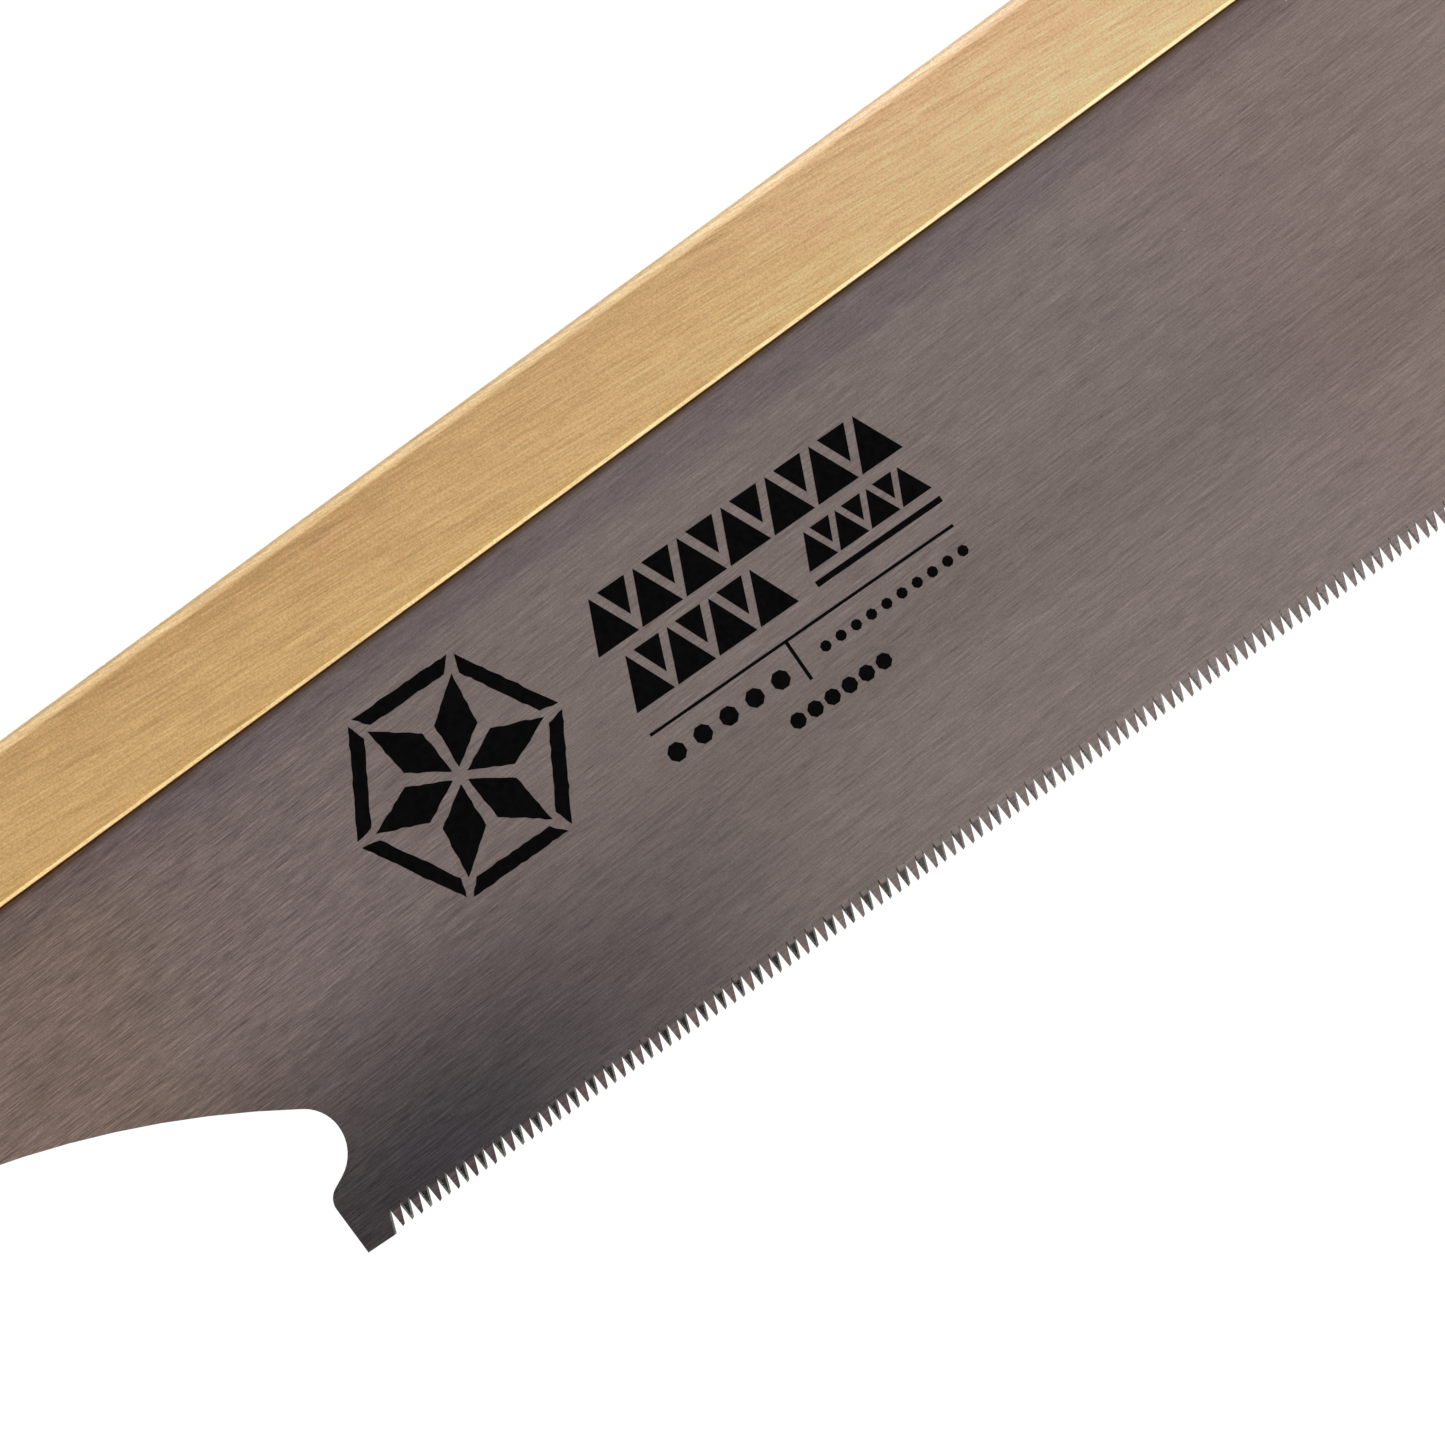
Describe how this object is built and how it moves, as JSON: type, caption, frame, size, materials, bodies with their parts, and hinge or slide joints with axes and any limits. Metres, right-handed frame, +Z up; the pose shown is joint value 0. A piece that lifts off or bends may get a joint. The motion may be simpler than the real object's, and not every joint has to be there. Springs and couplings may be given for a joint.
{
  "type": "dozuki back saw",
  "caption": "Fine-toothed pull saw with a folded brass back and a thin plate that slides out of a cane-wound wooden handle once its side screw is loosened.",
  "frame": {"origin": "centre of the handle, on its centre line, where a hand or gripper takes hold", "axes": "+X from the handle to the toe of the blade, +Z up with the brass back uppermost and the teeth down, +Y across the plate to the saw's left"},
  "size_m": [0.4539, 0.0262, 0.0743],
  "materials": {
    "blade_steel": "satin, finely ground lengthwise",
    "back_brass": "satin, finely brushed",
    "rivet_brass": "flush, satin",
    "receiver_steel": "rolled, dull",
    "rivet_steel": "flush",
    "pin_steel": "drawn",
    "screw_nickel": "nickel plated",
    "washer_steel": "oil blackened spring steel",
    "cup_nickel": "nickel plated",
    "nut_steel": "zinc plated",
    "handle_wood": "planed softwood, unvarnished",
    "dowel_wood": "raw",
    "band_steel": "satin",
    "nail_brass": "satin",
    "cane": "split cane, natural gloss"
  },
  "bodies": {
    "handle": {"handle_left": "handle_wood", "handle_right": "handle_wood", "handle_dowels": "dowel_wood", "mouth_band": "band_steel", "band_nails": "nail_brass", "cane_wrap": "cane", "receiver": "receiver_steel", "packing_left": "receiver_steel", "packing_right": "receiver_steel", "packing_rivets": "rivet_steel", "receiver_pins": "pin_steel", "screw_cup": "cup_nickel", "lock_nut": "nut_steel"},
    "blade": {"blade": "blade_steel", "brass_back": "back_brass", "back_rivets": "rivet_brass"},
    "loose_washer": {"spring_washer": "washer_steel"},
    "lock_screw": {"lock_screw": "screw_nickel"}
  },
  "joints": [
    {"name": "blade_release", "type": "slide", "parent": "handle", "child": "blade", "axis": [1, 0, 0], "range_m": [0, 0.043]},
    {"name": "screw_rise", "type": "slide", "parent": "handle", "child": "loose_washer", "axis": [0, -1, 0], "range_m": [0, 0.0014]},
    {"name": "screw_turn", "type": "hinge", "parent": "loose_washer", "child": "lock_screw", "pos_m": [0.0805, 0, -0.007], "axis": [0, -1, 0], "range_deg": [0, 724]}
  ],
  "couplings": [
    {"joint": "screw_turn", "follows": "screw_rise", "rad_per_m": 8976}
  ]
}
